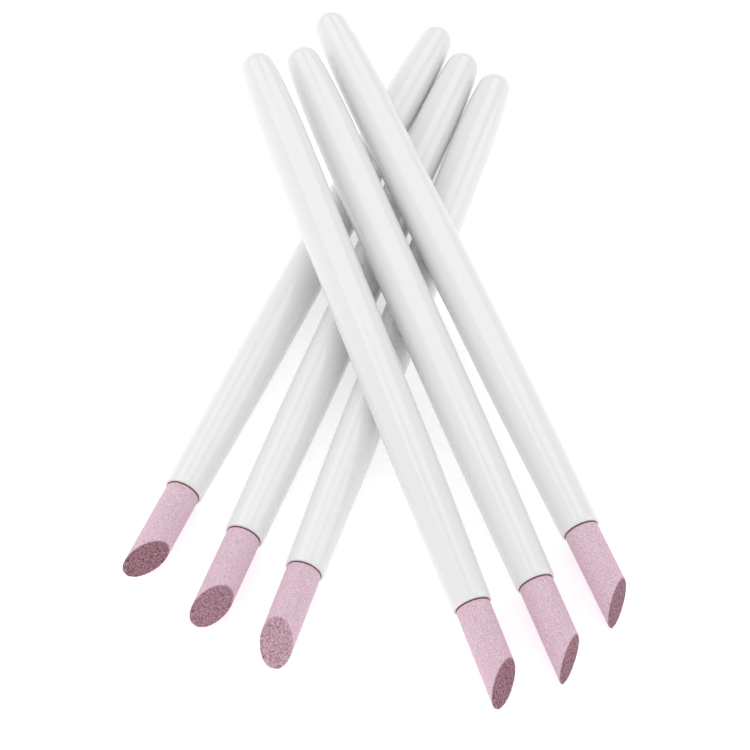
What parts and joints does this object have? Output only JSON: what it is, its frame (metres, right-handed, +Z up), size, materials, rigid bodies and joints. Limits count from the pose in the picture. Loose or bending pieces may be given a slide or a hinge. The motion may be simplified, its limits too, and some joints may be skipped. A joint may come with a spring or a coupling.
{
  "type": "stone-tipped stick set",
  "caption": "Set of slim hollow plastic sticks, crossed in two fanned rows, each with a slant-cut abrasive stone rod glued into its mouth; every stick lifts or draws out by itself.",
  "frame": {"origin": "on the surface that the set lies on, under the centre of its bounding box", "axes": "+Z up; the stones point towards -Y, fanned out to either side, and the domed ends point towards +Y; +X to the right as seen from the stones"},
  "size_m": [0.0773, 0.134, 0.0218],
  "materials": {
    "handle_plastic": "glossy white moulded plastic",
    "stone": "fine sintered abrasive, dry and matte, pink-lilac",
    "glue": "set adhesive, thin dark red-brown line"
  },
  "bodies": {
    "lower_right": {"lower_right_handle": "handle_plastic", "lower_right_glue": "glue", "lower_right_stone": "stone"},
    "lower_middle": {"lower_middle_handle": "handle_plastic", "lower_middle_glue": "glue", "lower_middle_stone": "stone"},
    "lower_left": {"lower_left_handle": "handle_plastic", "lower_left_glue": "glue", "lower_left_stone": "stone"},
    "upper_right": {"upper_right_handle": "handle_plastic", "upper_right_glue": "glue", "upper_right_stone": "stone"},
    "upper_middle": {"upper_middle_handle": "handle_plastic", "upper_middle_glue": "glue", "upper_middle_stone": "stone"},
    "upper_left": {"upper_left_handle": "handle_plastic", "upper_left_glue": "glue", "upper_left_stone": "stone"}
  },
  "joints": [
    {"name": "upper_left_lift", "type": "slide", "parent": "lower_right", "child": "upper_left", "axis": [0, 0, 1], "range_m": [0, 0.04]},
    {"name": "upper_middle_lift", "type": "slide", "parent": "lower_right", "child": "upper_middle", "axis": [0, 0, 1], "range_m": [0, 0.04]},
    {"name": "upper_right_lift", "type": "slide", "parent": "lower_right", "child": "upper_right", "axis": [0, 0, 1], "range_m": [0, 0.04]},
    {"name": "lower_left_draw", "type": "slide", "parent": "lower_right", "child": "lower_left", "axis": [-0.3955, -0.9184, 0], "range_m": [0, 0.13]},
    {"name": "lower_middle_draw", "type": "slide", "parent": "lower_right", "child": "lower_middle", "axis": [-0.3453, -0.9385, 0], "range_m": [0, 0.13]}
  ]
}
